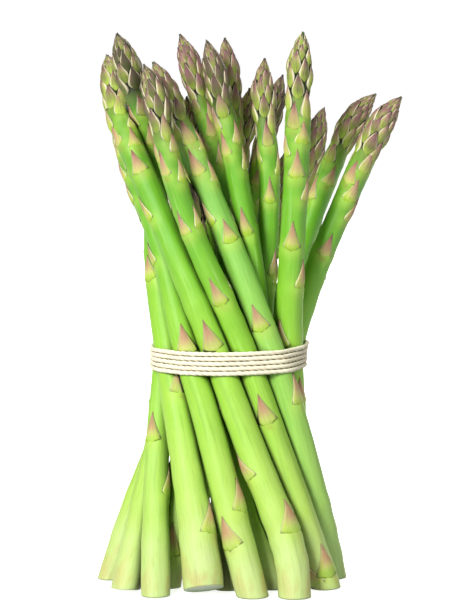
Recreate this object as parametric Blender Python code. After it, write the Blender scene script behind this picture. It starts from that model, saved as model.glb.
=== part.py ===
"""A bundle of asparagus: twenty spears wound with twine, standing on their cut feet.

Metres, +Z up.  The origin is the middle of the level cut foot of the core spear, on the surface
that the bundle stands on, straight below the winding.  The spears lean one past the other, so the
bundle is narrow where the twine holds it and spreads to its feet and to its heads.
"""
import math
from itertools import combinations

import bmesh
import bpy
import numpy as np
from mathutils import Matrix, Vector

MM = 0.001

# Driving dimensions, in millimetres
TIE_HEIGHT = 88.0        # middle of the winding above the surface
NECK_HEIGHT = 151.0      # level of the third point of each spear's line
TWINE_DIAMETER = 1.5     # laid cotton twine
TWINE_TURNS = 5
TWINE_PITCH = 1.85       # rise of the winding in each turn
TWINE_CLEARANCE = 0.6    # between a turn's surface and the stems, with the chords' sag
WINDING_MARGIN = 0.8     # a turn clears what the stems reach this far above and below it
KNOT_SIZE = (7.0, 4.4, 5.4)
KNOT_GAP = 0.4           # between the knot and the winding
END_ROOT = 4.7           # the ends leave the knot this far beside its middle,
END_FALL = 0.8           # this far below it,
END_SPREAD = 5.0         # and part by this much more,
END_BULGE = 1.2          # standing out from the stems by this much half-way down
END_DROOP = 1.6          # how late they turn down
END_DROPS = (("twine_end_1", -1, 15.0), ("twine_end_2", 1, 11.0))
END_POINTS = 8
SPEAR_GAP = 0.45         # least gap kept between two spears
HEAD_LENGTH = 30.0       # the scaly head of a spear of mean diameter
MEAN_DIAMETER = 9.5

# How the bundle settles
SETTLE_ROUNDS = 130
SETTLE_REACH = 4         # samples either side in which the nearest place on a neighbour is sought
SETTLE_NEAR = 24.0       # spears further apart than this are left out
SETTLE_STEP = 0.55       # share of a push that is taken in one round
PUSH_SPREAD = 2.2        # samples over which a push dies away, so that a stem bends and never kinks
PUSH_WINDOW = 6          # samples either side that a push reaches
PUSH_LIMIT = 2.0         # how far spreading a push may be made up for
YIELD = 1.05             # a spear gives way by this less its firmness
CORE_HOLD = 5            # samples above its foot over which the core spear keeps its place

# How finely the plain solids are cut
SIDES = 10               # round a spear
LEVELS = 36              # along a spear's line while the bundle settles
RINGS = 18               # along a finished spear's stem
TWINE_POINTS = 44        # in one turn of the winding

# Stem diameter along its length, as a share of its diameter at the tie: (share of length, factor)
STEM_TAPER = ((0.10, 1.12), (0.20, 1.08), (0.42, 1.0), (0.62, 0.94), (0.82, 0.87), (1.0, 0.85))
BUTT_SHARE = 0.95        # least share of the foot's diameter that is left at the first of those places
# Outline of the head: (share of head length from its base, share of the stem's diameter)
HEAD_OUTLINE = ((0.14, 0.93), (0.32, 1.03), (0.52, 0.98), (0.70, 0.80), (0.86, 0.50), (0.95, 0.25))

# One spear a line, in millimetres: name, diameter at the tie, diameter of the foot, foot (x, y),
# place in the tie (x, y), place at the neck (x, y), tip (x, y, z), and how firmly it keeps its line
# while the bundle settles.  The front row comes first, then the rows behind it.
SPEARS = (
    ("spear_front_1", 11.0, 15.6, (-9.6, -45.5), (-22.4, -12), (-31.5, 12), (-44, -9, 215), 0.9),
    ("spear_front_2", 10.8, 12.2, (9, -46), (-14.6, -20), (-32, 4), (-47, 31, 196), 0.9),
    ("spear_front_3", 10.9, 12.8, (25, -46.5), (-4, -23), (-29.8, -8), (-49, 25, 206), 0.9),
    ("spear_front_4", 9.7, 11.4, (37.5, -31), (6.3, -23), (-19.1, -22), (-33, -20, 203.5), 0.9),
    ("spear_front_5", 10.6, 10.8, (41, -13), (17.3, -19), (-7, -12), (-30, -8, 204), 0.9),
    ("spear_right_1", 10.9, 10.4, (32, 4), (23.6, -8), (25.4, -20), (28.2, -26, 216), 0.9),
    ("spear_short", 7.4, 10.2, (18.5, -32), (-9, -9.5), (-10.0, -12.0), (-18.1, -13.2, 160), 0.4),
    ("spear_middle_1", 8.8, 9.5, (24, -26), (2, -12), (-2.5, 3), (-19.6, 2, 214.5), 0.5),
    ("spear_middle_2", 9.6, 10.0, (29, -13), (13, -10.5), (4.5, -8), (-9, -6, 212.5), 0.6),
    ("spear_left_1", 8.8, 11.2, (-28.5, -45), (-25, -1), (-15, 12), (-17, 10, 190), 0.5),
    ("spear_inner_1", 8.4, 10.0, (-24, -30), (-16.5, 2), (-18, 20), (-20, 22, 191), 0.5),
    ("spear_inner_2", 8.2, 9.8, (-1, -34), (-3, -1), (-11, 13), (-12, 24, 186), 0.3),
    ("spear_inner_3", 9.0, 9.2, (14, -4), (12, 0.5), (16, 2), (14, 6, 205), 0.5),
    ("spear_right_2", 10.2, 10.4, (15, 21), (24, 3), (47, -2), (67, -12, 190.5), 0.7),
    ("spear_left_2", 9.2, 11.2, (-40.5, -38), (-18.5, 9), (0, 12), (-2, 8, 213), 0.5),
    ("spear_back_1", 8.0, 8.6, (-16, -14), (-7, 10), (2, 22), (8, 16, 193), 0.3),
    ("spear_core", 8.8, 9.6, (0, 0), (4, 9.5), (15.8, 12.5), (22, 15.5, 167), 0.3),
    ("spear_right_3", 9.6, 9.8, (-5, 27), (16, 12), (37.5, 12), (58, 2, 191), 0.6),
    ("spear_left_3", 9.2, 9.8, (-47.3, -16), (-9, 19), (29.5, 35), (39, 45, 184), 0.6),
    ("spear_back_2", 8.6, 9.2, (-23, 14), (4, 20), (10, 25), (21.5, 24, 198), 0.5),
)
CORE = "spear_core"      # its foot is cut level and carries the origin

# Bends beside the line through those four places: how far (x, y) the stem bows out near its foot,
# and how far the head hangs over near its tip, with the distance from that end to the deepest bend
FOOT_BOWS = {"spear_front_3": (3.6, 0.0), "spear_front_1": (0.8, 0.0)}
HEAD_BOWS = {
    "spear_right_3": (-3.6, 0.0), "spear_right_2": (-2.2, 0.0), "spear_inner_3": (-2.0, 0.0),
    "spear_right_1": (-1.0, 0.0), "spear_front_4": (1.6, 0.0), "spear_left_3": (-1.0, 0.0),
}
FOOT_BOW_REACH = 18.0
HEAD_BOW_REACH = 15.0

# The bundle was trimmed level once it was tied, so a foot's cut is nearly level: this is how far
# the cut turns from level (0) to square across the stem (1), or on past it
LEVEL_CUT = 0.12
OWN_CUTS = {"spear_front_1": 1.2, "spear_left_2": 0.3, "spear_core": 0.0}

STEM_COLOUR = (0.42, 0.66, 0.16)
TWINE_COLOUR = (0.86, 0.82, 0.62)


def clear_scene():
    for thing in list(bpy.data.objects):
        bpy.data.objects.remove(thing, do_unlink=True)


def make_material(name, colour, roughness):
    material = bpy.data.materials.new(name)
    material.use_nodes = True
    shader = material.node_tree.nodes["Principled BSDF"]
    shader.inputs["Base Color"].default_value = (*colour, 1.0)
    shader.inputs["Roughness"].default_value = roughness
    shader.inputs["Metallic"].default_value = 0.0
    return material


def smooth_curve(stops, values, at):
    """Natural cubic spline through values at stops, read at the places in at."""
    stops, values = np.asarray(stops, float), np.asarray(values, float)
    step = np.diff(stops)
    count = len(stops)
    system = np.eye(count)
    right = np.zeros(values.shape)
    slope = np.diff(values, axis=0) / step[:, None]
    for i in range(1, count - 1):
        system[i, i - 1:i + 2] = step[i - 1], 2 * (step[i - 1] + step[i]), step[i]
        right[i] = 6 * (slope[i] - slope[i - 1])
    bend = np.linalg.solve(system, right)
    k = np.clip(np.searchsorted(stops, at) - 1, 0, count - 2)
    h, low, high = step[k][:, None], (at - stops[k])[:, None], (stops[k + 1] - at)[:, None]
    return (
        (bend[k] * high**3 + bend[k + 1] * low**3) / (6 * h)
        + (values[k] / h - bend[k] * h / 6) * high
        + (values[k + 1] / h - bend[k + 1] * h / 6) * low
    )


def bow(distance, reach, offset):
    """A sideways offset that grows from nothing at an end to all of it at reach, then dies away."""
    share = distance / reach
    return ((share * np.exp(1 - share)) ** 2)[:, None] * np.array(offset or (0.0, 0.0))


class Spear:
    """A spear's line, sampled evenly from its foot to its tip, with a radius at each sample."""

    def __init__(self, name, tie_width, foot_width, foot, tie, neck, tip, firmness):
        self.name, self.firmness = name, firmness
        heights = [0.0, TIE_HEIGHT, NECK_HEIGHT, tip[2]]
        if tip[2] < NECK_HEIGHT + HEAD_LENGTH:
            heights[2] = 0.5 * (TIE_HEIGHT + tip[2])
        points = [(*place[:2], height) for place, height in zip((foot, tie, neck, tip), heights)]
        levels = np.linspace(0.0, tip[2], LEVELS)
        self.points = smooth_curve(heights, points, levels)
        self.points[:, :2] += bow(levels, FOOT_BOW_REACH, FOOT_BOWS.get(name))
        self.points[:, :2] += bow(tip[2] - levels, HEAD_BOW_REACH, HEAD_BOWS.get(name))
        self.home = self.points.copy()
        self.tie_width, self.foot_width = tie_width, foot_width
        self.head = HEAD_LENGTH * (0.6 + 0.4 * tie_width / MEAN_DIAMETER)
        self.radii = self.radius_at(self.travel())

    def travel(self):
        """Length along the line at each sample, from the foot."""
        steps = np.linalg.norm(np.diff(self.points, axis=0), axis=1)
        return np.concatenate(([0.0], np.cumsum(steps)))

    def radius_at(self, distance):
        """Half the spear's width at these distances from its foot."""
        whole = self.travel()[-1]
        stem = whole - self.head
        places = [0.0] + [share * stem for share, _ in STEM_TAPER]
        widths = [self.foot_width] + [factor * self.tie_width for _, factor in STEM_TAPER]
        widths[1] = max(widths[1], BUTT_SHARE * self.foot_width)
        for share, factor in HEAD_OUTLINE:
            places.append(stem + share * self.head)
            widths.append(factor * self.tie_width)
        places.append(whole)
        widths.append(0.0)
        return 0.5 * np.interp(distance, places, widths)

    def tangents(self):
        along = np.gradient(self.points, axis=0)
        return along / np.linalg.norm(along, axis=1)[:, None]


def nearest_on_line(point, line):
    """The nearest place on a line of points, as (place, share-weighted index)."""
    start, run = line[:-1], np.diff(line, axis=0)
    share = np.clip(((point - start) * run).sum(1) / (run**2).sum(1), 0, 1)
    places = start + share[:, None] * run
    best = int(np.argmin(((places - point) ** 2).sum(1)))
    return places[best], best + share[best]


def settle(spears):
    """Moves the lines apart, a little in each round, until no two spears are closer than the gap."""
    window = np.arange(-PUSH_WINDOW, PUSH_WINDOW + 1)
    spread = np.exp(-0.5 * (window / PUSH_SPREAD) ** 2)
    spread /= spread.sum()
    for _ in range(SETTLE_ROUNDS):
        pushes = [np.zeros_like(spear.points) for spear in spears]
        for (i, first), (j, second) in combinations(enumerate(spears), 2):
            push_apart(first, second, pushes[i], pushes[j])
        for spear, push in zip(spears, pushes):
            strongest = np.abs(push).max(axis=0)
            padded = np.pad(push, ((PUSH_WINDOW, PUSH_WINDOW), (0, 0)), mode="edge")
            soft = np.stack([np.convolve(padded[:, axis], spread, "valid") for axis in range(3)], 1)
            scale = strongest / np.maximum(np.abs(soft).max(axis=0), 1e-9)
            spear.points += SETTLE_STEP * soft * np.minimum(scale, PUSH_LIMIT)
            if spear.name == CORE:
                hold = np.clip(1 - np.arange(LEVELS) / CORE_HOLD, 0, 1)[:, None]
                spear.points += hold * (spear.home - spear.points)


def push_apart(first, second, first_push, second_push):
    """Adds to two spears' pushes what it takes to part them where they are too close."""
    apart = np.linalg.norm(first.points[:, :2] - second.points[:, :2], axis=1)
    give = (YIELD - first.firmness) / (2 * YIELD - first.firmness - second.firmness)
    for k in np.nonzero(apart < SETTLE_NEAR)[0]:
        low = max(0, k - SETTLE_REACH)
        part = second.points[low:k + SETTLE_REACH + 1]
        if len(part) < 2:
            continue
        place, where = nearest_on_line(first.points[k], part)
        away = first.points[k] - place
        gap = np.linalg.norm(away)
        other = np.interp(low + where, range(LEVELS), second.radii)
        lack = first.radii[k] + other + SPEAR_GAP - gap
        if lack <= 0:
            continue
        away = away / max(gap, 1e-6)
        away[2] = 0.0
        first_push[k] += away * lack * give
        near = min(LEVELS - 1, int(round(low + where)))
        second_push[near] -= away * lack * (1 - give)


def spear_frames(spear):
    """Matrices that carry a flat ring of unit radius to each station of the finished spear."""
    travel = spear.travel()
    whole, stem = travel[-1], travel[-1] - spear.head
    stations = list(np.linspace(0.0, stem, RINGS))
    stations += [stem + share * spear.head for share, _ in HEAD_OUTLINE]
    line = np.stack([np.interp(stations, travel, spear.points[:, axis]) for axis in range(3)], 1)
    tangents = spear.tangents()
    ways = np.stack([np.interp(stations, travel, tangents[:, axis]) for axis in range(3)], 1)
    radii = spear.radius_at(np.asarray(stations))
    frames = []
    for place, way, radius in zip(line, ways, radii):
        upright = Vector(way).normalized()
        turn = Vector((0.0, 0.0, 1.0)).rotation_difference(upright).to_matrix().to_4x4()
        size = Matrix.Diagonal((radius * MM, radius * MM, 1.0, 1.0))
        frames.append(Matrix.Translation(Vector(place) * MM) @ turn @ size)
    return frames, Vector(spear.points[-1]) * MM


def cut_foot(bm, rim, spear, frame):
    """Slides the first ring along the stem to its cut plane, with its lowest point on the surface."""
    middle = frame.translation
    along = (frame.to_3x3() @ Vector((0.0, 0.0, 1.0))).normalized()
    share = OWN_CUTS.get(spear.name, LEVEL_CUT)
    square = Vector((0.0, 0.0, 1.0)).lerp(along, share).normalized()
    for vert in rim:
        vert.co -= along * ((vert.co - middle).dot(square) / along.dot(square))
    lowest = min(vert.co.z for vert in rim)
    bmesh.ops.translate(bm, verts=rim, vec=-along * (lowest / along.z))


def build_spear(spear, material):
    frames, tip = spear_frames(spear)
    bm = bmesh.new()
    made = bmesh.ops.create_circle(bm, cap_ends=True, segments=SIDES, radius=1.0, matrix=frames[0])
    rim, edges = made["verts"], list(bm.edges)
    for before, after in zip(frames, frames[1:]):
        made = bmesh.ops.extrude_edge_only(bm, edges=edges)["geom"]
        ring = [item for item in made if isinstance(item, bmesh.types.BMVert)]
        edges = [item for item in made if isinstance(item, bmesh.types.BMEdge)]
        bmesh.ops.transform(bm, matrix=after @ before.inverted(), verts=ring)
    made = bmesh.ops.extrude_edge_only(bm, edges=edges)["geom"]
    ring = [item for item in made if isinstance(item, bmesh.types.BMVert)]
    bmesh.ops.pointmerge(bm, verts=ring, merge_co=tip)
    cut_foot(bm, rim, spear, frames[0])
    bmesh.ops.recalc_face_normals(bm, faces=bm.faces)
    finish(bm, spear.name, material)


def finish(bm, name, material):
    mesh = bpy.data.meshes.new(name)
    bm.to_mesh(mesh)
    bm.free()
    mesh.materials.append(material)
    mesh.shade_smooth()
    mesh.set_sharp_from_angle(angle=math.radians(50))
    thing = bpy.data.objects.new(name, mesh)
    bpy.context.scene.collection.objects.link(thing)
    return thing


def outline_at(spears, height, offset):
    """The taut outline round all the stems at this height, offset outwards, as a closed ring."""
    points = []
    for spear in spears:
        rise = spear.points[:, 2]
        place = np.array([np.interp(height, rise, spear.points[:, axis]) for axis in (0, 1)])
        radius = np.interp(height, spear.points[:, 2], spear.radii)
        way = spear.tangents()[int(np.searchsorted(spear.points[:, 2], height))]
        lean = way[:2] / way[2]
        for angle in np.linspace(0, 2 * math.pi, 48, endpoint=False):
            out = np.array((math.cos(angle), math.sin(angle)))
            stretch = math.sqrt(1 + float(out @ lean) ** 2)
            points.append(place + out * (radius * stretch + offset))
    return hull(points)


def hull(points):
    """Convex outline of flat points, anticlockwise."""
    points = sorted(map(tuple, points))
    sides = []
    for run in (points, points[::-1]):
        side = []
        for p in run:
            while len(side) > 1 and turn_of(side[-2], side[-1], p) <= 0:
                side.pop()
            side.append(p)
        sides += side[:-1]
    return np.array(sides)


def turn_of(a, b, c):
    return (b[0] - a[0]) * (c[1] - a[1]) - (b[1] - a[1]) * (c[0] - a[0])


def reach_of(outline, angle):
    """How far the outline reaches from the bundle's middle at this angle."""
    out = np.array((math.cos(angle), math.sin(angle)))
    across = np.array((-out[1], out[0]))
    ends = np.roll(outline, -1, axis=0)
    side, other = outline @ across, ends @ across
    crossing = np.nonzero((side <= 0) & (other > 0))[0]
    reaches = [0.0]
    for k in crossing:
        share = side[k] / (side[k] - other[k])
        reaches.append(float((outline[k] + share * (ends[k] - outline[k])) @ out))
    return max(reaches)


def winding_route(spears):
    """The winding's middle line, from its lower end at the back to its upper end at the back."""
    offset = TWINE_DIAMETER / 2 + TWINE_CLEARANCE
    low = TIE_HEIGHT - TWINE_TURNS * TWINE_PITCH / 2
    route = []
    for k in range(TWINE_TURNS * TWINE_POINTS + 1):
        turns = k / TWINE_POINTS
        height = low + turns * TWINE_PITCH
        angle = math.pi / 2 + 2 * math.pi * turns
        levels = (height - WINDING_MARGIN, height + WINDING_MARGIN)
        reach = max(reach_of(outline_at(spears, level, offset), angle) for level in levels)
        route.append((reach * math.cos(angle), reach * math.sin(angle), height))
    return route


def build_cord(name, route, diameter, material):
    """A round cord along a route in millimetres, with closed ends."""
    curve = bpy.data.curves.new(name, "CURVE")
    curve.dimensions = "3D"
    curve.bevel_depth = diameter / 2 * MM
    curve.bevel_resolution = 1
    curve.use_fill_caps = True
    spline = curve.splines.new("POLY")
    spline.points.add(len(route) - 1)
    for point, place in zip(spline.points, route):
        point.co = (*(value * MM for value in place), 1.0)
    curve.materials.append(material)
    cord = bpy.data.objects.new(name, curve)
    bpy.context.scene.collection.objects.link(cord)
    return cord


def build_knot(back, material):
    """The knot's lump behind the winding, and the two trimmed ends that hang from it."""
    width, depth, height = KNOT_SIZE
    middle = back + TWINE_DIAMETER / 2 + KNOT_GAP + depth / 2
    bm = bmesh.new()
    size = Matrix.Diagonal((width * MM, depth * MM, height * MM, 1.0))
    place = Matrix.Translation((0.0, middle * MM, TIE_HEIGHT * MM))
    bmesh.ops.create_uvsphere(bm, u_segments=14, v_segments=8, radius=0.5, matrix=place @ size)
    finish(bm, "twine_knot", material)
    for name, side, drop in END_DROPS:
        route = []
        for share in np.linspace(0.0, 1.0, END_POINTS):
            route.append((
                side * (END_ROOT + END_SPREAD * share),
                middle + END_BULGE * math.sin(math.pi * share),
                TIE_HEIGHT - END_FALL - drop * share**END_DROOP,
            ))
        build_cord(name, route, TWINE_DIAMETER, material)


def build():
    clear_scene()
    stem = make_material("asparagus_stem", STEM_COLOUR, 0.45)
    cotton = make_material("cotton_twine", TWINE_COLOUR, 0.9)
    spears = [Spear(*row) for row in SPEARS]
    settle(spears)
    for spear in spears:
        build_spear(spear, stem)
    route = winding_route(spears)
    build_cord("twine", route, TWINE_DIAMETER, cotton)
    build_knot(max(y for _, y, _ in route), cotton)


build()
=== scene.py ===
# %% [markdown]
# # A bundle of green asparagus, tied with twine
# The bundle stands on its cut ends. Twenty spears lean one past the other, so the bundle is narrow
# where the twine holds it. The solid model of the bundle is loaded first and never changed. It could
# be dressed with bumps and colour alone, but then the scales would have no edges and no shadows. So
# every spear's line and thickness is read from it, and a finished spear is grown along that line.

# %% Load the solid bundle
import math
import random

import bmesh
import bpy
import numpy as np
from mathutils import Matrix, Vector


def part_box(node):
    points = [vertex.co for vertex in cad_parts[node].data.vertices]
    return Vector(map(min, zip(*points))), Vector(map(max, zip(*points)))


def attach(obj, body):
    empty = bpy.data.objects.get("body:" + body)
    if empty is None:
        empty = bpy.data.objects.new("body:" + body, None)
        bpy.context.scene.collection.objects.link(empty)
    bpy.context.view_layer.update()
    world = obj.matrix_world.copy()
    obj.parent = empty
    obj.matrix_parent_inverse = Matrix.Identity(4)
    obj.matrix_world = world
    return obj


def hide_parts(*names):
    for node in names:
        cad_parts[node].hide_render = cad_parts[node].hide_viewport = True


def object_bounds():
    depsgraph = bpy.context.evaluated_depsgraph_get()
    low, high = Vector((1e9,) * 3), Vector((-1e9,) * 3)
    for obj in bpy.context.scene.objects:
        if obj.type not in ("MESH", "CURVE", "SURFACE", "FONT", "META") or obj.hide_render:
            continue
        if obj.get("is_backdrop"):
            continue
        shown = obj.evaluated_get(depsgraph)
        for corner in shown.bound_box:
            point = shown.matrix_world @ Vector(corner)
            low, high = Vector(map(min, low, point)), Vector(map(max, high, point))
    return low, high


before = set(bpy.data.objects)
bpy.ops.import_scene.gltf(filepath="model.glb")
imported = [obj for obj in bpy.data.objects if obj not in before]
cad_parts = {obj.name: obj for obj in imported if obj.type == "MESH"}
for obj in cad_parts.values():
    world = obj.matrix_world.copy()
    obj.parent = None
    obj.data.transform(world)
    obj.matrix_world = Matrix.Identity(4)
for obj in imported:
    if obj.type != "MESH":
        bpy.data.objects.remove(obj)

MM = 0.001
WELD = 0.001 * MM          # points of a solid that are closer than this are one point
cad_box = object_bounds()
spear_names = sorted(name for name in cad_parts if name.startswith("spear_"))
print(len(spear_names), "spears, solid box", [tuple(round(x / MM) for x in corner) for corner in cad_box])

# %% [markdown]
# ## Camera, light and floor
# The bundle is looked at from its own middle height, a little from above, with a long lens, so that
# upright stems stay parallel. Fresh produce looks best in soft light: a bright white room, one
# strong window lamp from the front left, a weak fill lamp from the right and a wide one behind that
# lights the edges. Many small lamps would draw many shadows, so three wide ones were chosen. The
# floor is plain and pale, and glows a little, so that it stays white under the bundle.

# %% Camera
LOOK_AT = Vector((0.0, 0.0, 107 * MM))
DISTANCE, ELEVATION, FOCAL_LENGTH = 1.0, math.radians(7), 148.0


def place_camera():
    camera = bpy.data.objects.new("camera", bpy.data.cameras.new("camera"))
    camera.data.lens = FOCAL_LENGTH
    back = Vector((0.0, -math.cos(ELEVATION), math.sin(ELEVATION)))
    camera.location = LOOK_AT + back * DISTANCE
    camera.rotation_euler = (-back).to_track_quat("-Z", "Y").to_euler()
    bpy.context.scene.collection.objects.link(camera)
    bpy.context.scene.camera = camera


place_camera()
print("camera at", [round(x, 3) for x in bpy.context.scene.camera.location])


# %% Light and floor
# Name, place in metres, width in metres and power in watts
LAMPS = (
    ("window", (-0.75, -1.25, 0.85), 0.5, 33.0),
    ("fill", (1.1, -1.0, 0.8), 0.9, 5.0),
    ("back_fill", (0.3, 1.3, 0.7), 1.2, 24.0),
)
ROOM_GLOW, FLOOR_GLOW = 0.26, 0.80
FLOOR_SIDE = 800.0         # metres, so that its edge is never seen
FLOOR_DROP = 0.05 * MM     # below the feet, so that the two faces don't fight


def soft_lamp(name, place, size, power):
    lamp = bpy.data.lights.new(name, "AREA")
    lamp.size, lamp.energy = size, power
    thing = bpy.data.objects.new(name, lamp)
    thing.location = place
    thing.rotation_euler = (LOOK_AT - Vector(place)).to_track_quat("-Z", "Y").to_euler()
    bpy.context.scene.collection.objects.link(thing)


def white_room(strength):
    world = bpy.data.worlds.new("white_room")
    world.use_nodes = True
    world.node_tree.nodes["Background"].inputs["Color"].default_value = (1.0, 1.0, 1.0, 1.0)
    world.node_tree.nodes["Background"].inputs["Strength"].default_value = strength
    bpy.context.scene.world = world


def lay_floor(side):
    bm = bmesh.new()
    bmesh.ops.create_grid(bm, x_segments=1, y_segments=1, size=side / 2)
    bmesh.ops.translate(bm, verts=bm.verts, vec=(0.0, 0.0, -FLOOR_DROP))
    mesh = bpy.data.meshes.new("floor")
    bm.to_mesh(mesh)
    bm.free()
    paint = bpy.data.materials.new("white_floor")
    paint.use_nodes = True
    shader = paint.node_tree.nodes["Principled BSDF"]
    shader.inputs["Base Color"].default_value = (0.92, 0.92, 0.92, 1.0)
    shader.inputs["Roughness"].default_value = 0.7
    shader.inputs["Emission Color"].default_value = (1.0, 1.0, 1.0, 1.0)
    shader.inputs["Emission Strength"].default_value = FLOOR_GLOW
    mesh.materials.append(paint)
    floor = bpy.data.objects.new("floor", mesh)
    bpy.context.scene.collection.objects.link(floor)
    floor.visible_diffuse = False
    floor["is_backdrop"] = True


white_room(ROOM_GLOW)
for lamp in LAMPS:
    soft_lamp(*lamp)
lay_floor(FLOOR_SIDE)
bpy.context.scene.view_settings.view_transform = "Standard"
print("lamps:", [name for name, *_ in LAMPS])

# %% [markdown]
# ## Shader maths as plain expressions
# A pattern is easier to read as `skin + 0.2 * streak` than as twenty linked nodes. One small class
# wraps the output of a node, and Python's operators add the Math nodes. Every other node comes from
# its `node` method: settings are set first, then the sockets get their values or links.


# %% A wire that can be added, multiplied and mixed
class Wire:
    """One output socket of a node tree, used like a number."""

    def __init__(self, tree, socket=None):
        self.tree, self.socket = tree, socket

    def node(self, kind, settings=None, inputs=None, output=0):
        """Any node: its settings first, then its sockets by name or number; gives one output."""
        made = self.tree.nodes.new(kind)
        for name, value in (settings or {}).items():
            if name == "stops":
                ramp = made.color_ramp
                while len(ramp.elements) < len(value):
                    ramp.elements.new(1.0)
                for element, (place, colour) in zip(ramp.elements, value):
                    element.position, element.color = place, (*colour, 1.0)
            else:
                setattr(made, name, value)
        for key, value in (inputs or {}).items():
            if isinstance(value, Wire):
                self.tree.links.new(value.socket, made.inputs[key])
            else:
                made.inputs[key].default_value = value
        return Wire(self.tree, made.outputs[output])

    def math(self, operation, *values):
        return self.node("ShaderNodeMath", {"operation": operation}, dict(enumerate(values)))

    def __add__(self, other):
        return self.math("ADD", self, other)

    def __sub__(self, other):
        return self.math("SUBTRACT", self, other)

    def __rsub__(self, other):
        return self.math("SUBTRACT", other, self)

    def __mul__(self, other):
        return self.math("MULTIPLY", self, other)

    __radd__, __rmul__ = __add__, __mul__

    def within(self, low, high):
        """0 below low, 1 above high, and a smooth step between."""
        return self.node(
            "ShaderNodeMapRange",
            {"interpolation_type": "SMOOTHSTEP"},
            {"Value": self, "From Min": low, "From Max": high},
        )

    def stretched(self, x, y, z):
        """A vector scaled along each of its axes."""
        return self.node("ShaderNodeVectorMath", {"operation": "MULTIPLY"}, {0: self, 1: (x, y, z)})

    def noise(self, scale, detail=2.0, roughness=0.5):
        inputs = {"Vector": self, "Scale": scale, "Detail": detail, "Roughness": roughness}
        return self.node("ShaderNodeTexNoise", None, inputs)

    def ramp(self, *stops):
        return self.node("ShaderNodeValToRGB", {"stops": stops}, {"Fac": self})

    def mixed(self, other, share):
        """This colour turned towards another one by share."""
        colours = {0: share, 6: self, 7: (*other, 1.0) if isinstance(other, tuple) else other}
        return self.node("ShaderNodeMix", {"data_type": "RGBA"}, colours, 2)

    def attribute(self, name, output=0):
        return self.node("ShaderNodeAttribute", {"attribute_name": name}, None, output)

    def hollow(self, reach):
        """1 deep in a narrow gap, 0 in the open."""
        return 1.0 - self.node("ShaderNodeAmbientOcclusion", {"samples": 8}, {"Distance": reach}, 1)

    def split(self, axis):
        return self.node("ShaderNodeSeparateXYZ", None, {0: self}, axis)


# %% Colours and materials
def srgb(red, green, blue):
    """A colour as a screen or a paint chart gives it, 0 to 255, turned into linear light."""
    shares = (red / 255, green / 255, blue / 255)
    return tuple(s / 12.92 if s < 0.04045 else ((s + 0.055) / 1.055) ** 2.4 for s in shares)


def new_material(name, **constants):
    """A material, an empty wire on its tree, and its Principled shader with constants set."""
    material = bpy.data.materials.new(name)
    material.use_nodes = True
    shader = material.node_tree.nodes["Principled BSDF"]
    for key, value in constants.items():
        shader.inputs[key.replace("_", " ")].default_value = value
    return material, Wire(material.node_tree), shader


def feed(shader, **wires):
    """Links each wire to the shader's socket of that name."""
    for key, wire in wires.items():
        wire.tree.links.new(wire.socket, shader.inputs[key.replace("_", " ")])


def bumped(height, distance, strength=1.0):
    """A Normal wire that stands up by distance where height is 1."""
    inputs = {"Height": height, "Distance": distance, "Strength": strength}
    return height.node("ShaderNodeBump", None, inputs)


# %% [markdown]
# ## The stem's skin
# An asparagus stem is pale lime where it was covered or stood low, and a strong green higher up. Its
# skin has fine fibres that run up the stem, a thin waxy bloom and soft blotches; the bloom's pale
# streaks are also a painted highlight. Object coordinates would draw the fibres straight up through
# a leaning, bent stem. So the pattern reads coordinates of the straightened stem, stored on the mesh
# as the attribute `skin`: across in x and y, along the stem in z, in metres. Other attributes say how
# far up the stem a point is (`ripe`), how deep in the head (`core`), and where a scale's foot marks
# the skin (`collar` and `scar`). Deep in the head the stem is darker, partly its own colour and partly
# painted shade between the scales, and the narrow gaps between stems get painted shade from Ambient
# Occlusion.

# %% Stem skin
FOOT_PALE, FOOT_BUFF = srgb(196, 216, 136), srgb(196, 180, 112)
LOW_LIME, MID_LIME = srgb(176, 212, 92), srgb(150, 204, 56)
HIGH_GREEN, DEEP_GREEN = srgb(112, 180, 38), srgb(74, 136, 30)
# The second colour is a pale waxy bloom that also serves as a painted highlight
GREY_GREEN, WAX_AND_SHEEN = srgb(146, 200, 104), srgb(208, 236, 156)
COLLAR_LIME, SCAR_BROWN = srgb(190, 222, 90), srgb(140, 96, 52)
# The first colour is the stem's dark deep in the head, partly its own colour and partly painted shade
# between the scales; the second is painted shade for the narrow gaps between stems
CORE_DARK_AND_SHADE, PAINTED_GAP_SHADE = srgb(34, 38, 16), srgb(34, 44, 10)


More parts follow.
